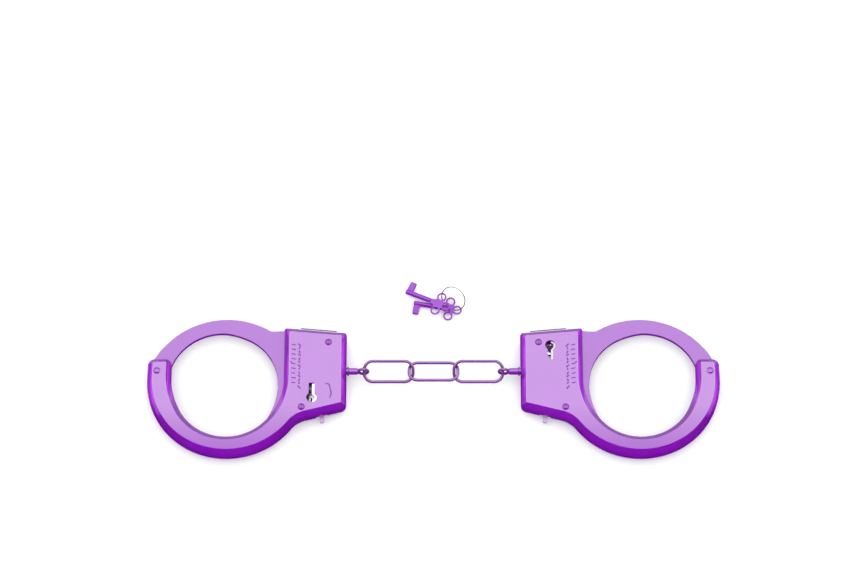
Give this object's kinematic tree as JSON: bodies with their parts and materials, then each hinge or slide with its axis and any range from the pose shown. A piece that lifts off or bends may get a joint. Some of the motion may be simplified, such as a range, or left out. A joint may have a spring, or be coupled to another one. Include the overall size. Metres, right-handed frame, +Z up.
{
  "type": "handcuffs",
  "caption": "Double-strand handcuffs: toothed jaws swing shut into flat pressed-metal lock housings, joined by a short link chain on swivels, with hollow-shaft keys on a wire ring",
  "frame": {"origin": "centre of the whole set's footprint, on the table it lies on", "axes": "+X along the chain from the left cuff to the right cuff, +Y across the cuffs towards the jaws' open mouths and the keys, +Z up from the table"},
  "size_m": [0.2802, 0.0946, 0.0111],
  "materials": {
    "left_front_plate": "glossy metallic purple coat",
    "left_rear_plate": "glossy metallic purple coat",
    "left_jaw": "glossy metallic purple coat",
    "left_hinge_rivet": "glossy metallic purple coat",
    "left_upper_rivet": "glossy metallic purple coat",
    "left_lower_rivet": "glossy metallic purple coat",
    "left_pawl": "plain steel inside the lock",
    "left_pawl_pin": "plain steel inside the lock",
    "left_lever_pin": "plain steel inside the lock",
    "left_key_post": "bright plain steel",
    "left_release_lever": "glossy metallic purple coat",
    "left_pawl_spring": "plain steel inside the lock",
    "left_swivel": "darker glossy purple coat",
    "right_front_plate": "glossy metallic purple coat",
    "right_rear_plate": "glossy metallic purple coat",
    "right_jaw": "glossy metallic purple coat",
    "right_hinge_rivet": "glossy metallic purple coat",
    "right_upper_rivet": "glossy metallic purple coat",
    "right_lower_rivet": "glossy metallic purple coat",
    "right_pawl": "plain steel inside the lock",
    "right_pawl_pin": "plain steel inside the lock",
    "right_lever_pin": "plain steel inside the lock",
    "right_key_post": "bright plain steel",
    "right_release_lever": "glossy metallic purple coat",
    "right_pawl_spring": "plain steel inside the lock",
    "right_swivel": "darker glossy purple coat",
    "chain_link_1": "darker glossy purple coat",
    "chain_link_2": "darker glossy purple coat",
    "chain_link_3": "darker glossy purple coat",
    "key_1": "glossy deep purple coat",
    "key_2": "glossy deep purple coat",
    "key_ring": "bright plain steel"
  },
  "bodies": {
    "left_cuff": {"left_front_plate": "left_front_plate", "left_rear_plate": "left_rear_plate", "left_hinge_rivet": "left_hinge_rivet", "left_upper_rivet": "left_upper_rivet", "left_lower_rivet": "left_lower_rivet", "left_pawl_pin": "left_pawl_pin", "left_lever_pin": "left_lever_pin", "left_key_post": "left_key_post", "left_pawl_spring": "left_pawl_spring"},
    "left_jaw_body": {"left_jaw": "left_jaw"},
    "left_pawl_body": {"left_pawl": "left_pawl"},
    "left_lever_body": {"left_release_lever": "left_release_lever"},
    "left_swivel_body": {"left_swivel": "left_swivel"},
    "link_1_body": {"chain_link_1": "chain_link_1"},
    "link_2_body": {"chain_link_2": "chain_link_2"},
    "link_3_body": {"chain_link_3": "chain_link_3"},
    "right_swivel_body": {"right_swivel": "right_swivel"},
    "right_cuff": {"right_front_plate": "right_front_plate", "right_rear_plate": "right_rear_plate", "right_hinge_rivet": "right_hinge_rivet", "right_upper_rivet": "right_upper_rivet", "right_lower_rivet": "right_lower_rivet", "right_pawl_pin": "right_pawl_pin", "right_lever_pin": "right_lever_pin", "right_key_post": "right_key_post", "right_pawl_spring": "right_pawl_spring"},
    "right_jaw_body": {"right_jaw": "right_jaw"},
    "right_pawl_body": {"right_pawl": "right_pawl"},
    "right_lever_body": {"right_release_lever": "right_release_lever"},
    "key_ring_body": {"key_ring": "key_ring"},
    "key_1_body": {"key_1": "key_1"},
    "key_2_body": {"key_2": "key_2"}
  },
  "joints": [
    {"name": "left_jaw_swing", "type": "hinge", "parent": "left_cuff", "child": "left_jaw_body", "pos_m": [-0.1352, -0.00374, 0.0053], "axis": [0, 0, 1], "range_deg": [0, 115]},
    {"name": "left_pawl_swing", "type": "hinge", "parent": "left_cuff", "child": "left_pawl_body", "pos_m": [-0.0638, 0.00636, 0.0053], "axis": [0, 0, 1], "range_deg": [-7.3, 4], "stiffness_Nm_per_rad": 0.05},
    {"name": "left_lever_turn", "type": "hinge", "parent": "left_cuff", "child": "left_lever_body", "pos_m": [-0.0545, -0.02074, 0.0053], "axis": [0, 0, 1], "range_deg": [-9.4, 17.1]},
    {"name": "left_swivel_spin", "type": "hinge", "parent": "left_cuff", "child": "left_swivel_body", "pos_m": [-0.042, -0.00214, 0.0053], "axis": [1, 0, 0], "continuous": true},
    {"name": "link_1_swing", "type": "hinge", "parent": "left_swivel_body", "child": "link_1_body", "pos_m": [-0.03445, -0.00214, 0.0053], "axis": [0, 0.9135, 0.4067], "range_deg": [-75, 75]},
    {"name": "link_2_swing", "type": "hinge", "parent": "link_1_body", "child": "link_2_body", "pos_m": [-0.01105, -0.00214, 0.0053], "axis": [0, -1, 0], "range_deg": [-50, 50]},
    {"name": "link_3_swing", "type": "hinge", "parent": "link_2_body", "child": "link_3_body", "pos_m": [0.01105, -0.00214, 0.0053], "axis": [0, 1, 0], "range_deg": [-50, 50]},
    {"name": "right_swivel_swing", "type": "hinge", "parent": "link_3_body", "child": "right_swivel_body", "pos_m": [0.03445, -0.00214, 0.0053], "axis": [0, -0.9135, -0.4067], "range_deg": [-75, 75]},
    {"name": "right_cuff_spin", "type": "hinge", "parent": "right_swivel_body", "child": "right_cuff", "pos_m": [0.042, -0.00214, 0.0053], "axis": [1, 0, 0], "continuous": true},
    {"name": "right_jaw_swing", "type": "hinge", "parent": "right_cuff", "child": "right_jaw_body", "pos_m": [0.1352, -0.00374, 0.0053], "axis": [0, 0, -1], "range_deg": [0, 115]},
    {"name": "right_pawl_swing", "type": "hinge", "parent": "right_cuff", "child": "right_pawl_body", "pos_m": [0.0638, -0.01474, 0.0053], "axis": [0, 0, 1], "range_deg": [-9.3, 4], "stiffness_Nm_per_rad": 0.05},
    {"name": "right_lever_turn", "type": "hinge", "parent": "right_cuff", "child": "right_lever_body", "pos_m": [0.0545, -0.02074, 0.0053], "axis": [0, 0, 1], "range_deg": [-4.2, 9.5]},
    {"name": "keys_lift", "type": "slide", "parent": "left_cuff", "child": "key_ring_body", "axis": [0, 0, 1], "range_m": [0, 0.06]},
    {"name": "key_1_round_ring", "type": "hinge", "parent": "key_ring_body", "child": "key_1_body", "pos_m": [0.00983, 0.03667, 0.00557], "axis": [0.4171, 0.6908, -0.5906], "range_deg": [0, 80]},
    {"name": "key_2_swing", "type": "hinge", "parent": "key_ring_body", "child": "key_2_body", "pos_m": [0.01167, 0.03215, 0.00159], "axis": [-0.0172, 0.0032, 0.9998], "range_deg": [0, 8]}
  ],
  "couplings": [
    {"joint": "left_lever_turn", "follows": "left_pawl_swing", "ratio": -2.326},
    {"joint": "right_lever_turn", "follows": "right_pawl_swing", "ratio": -1.007}
  ]
}
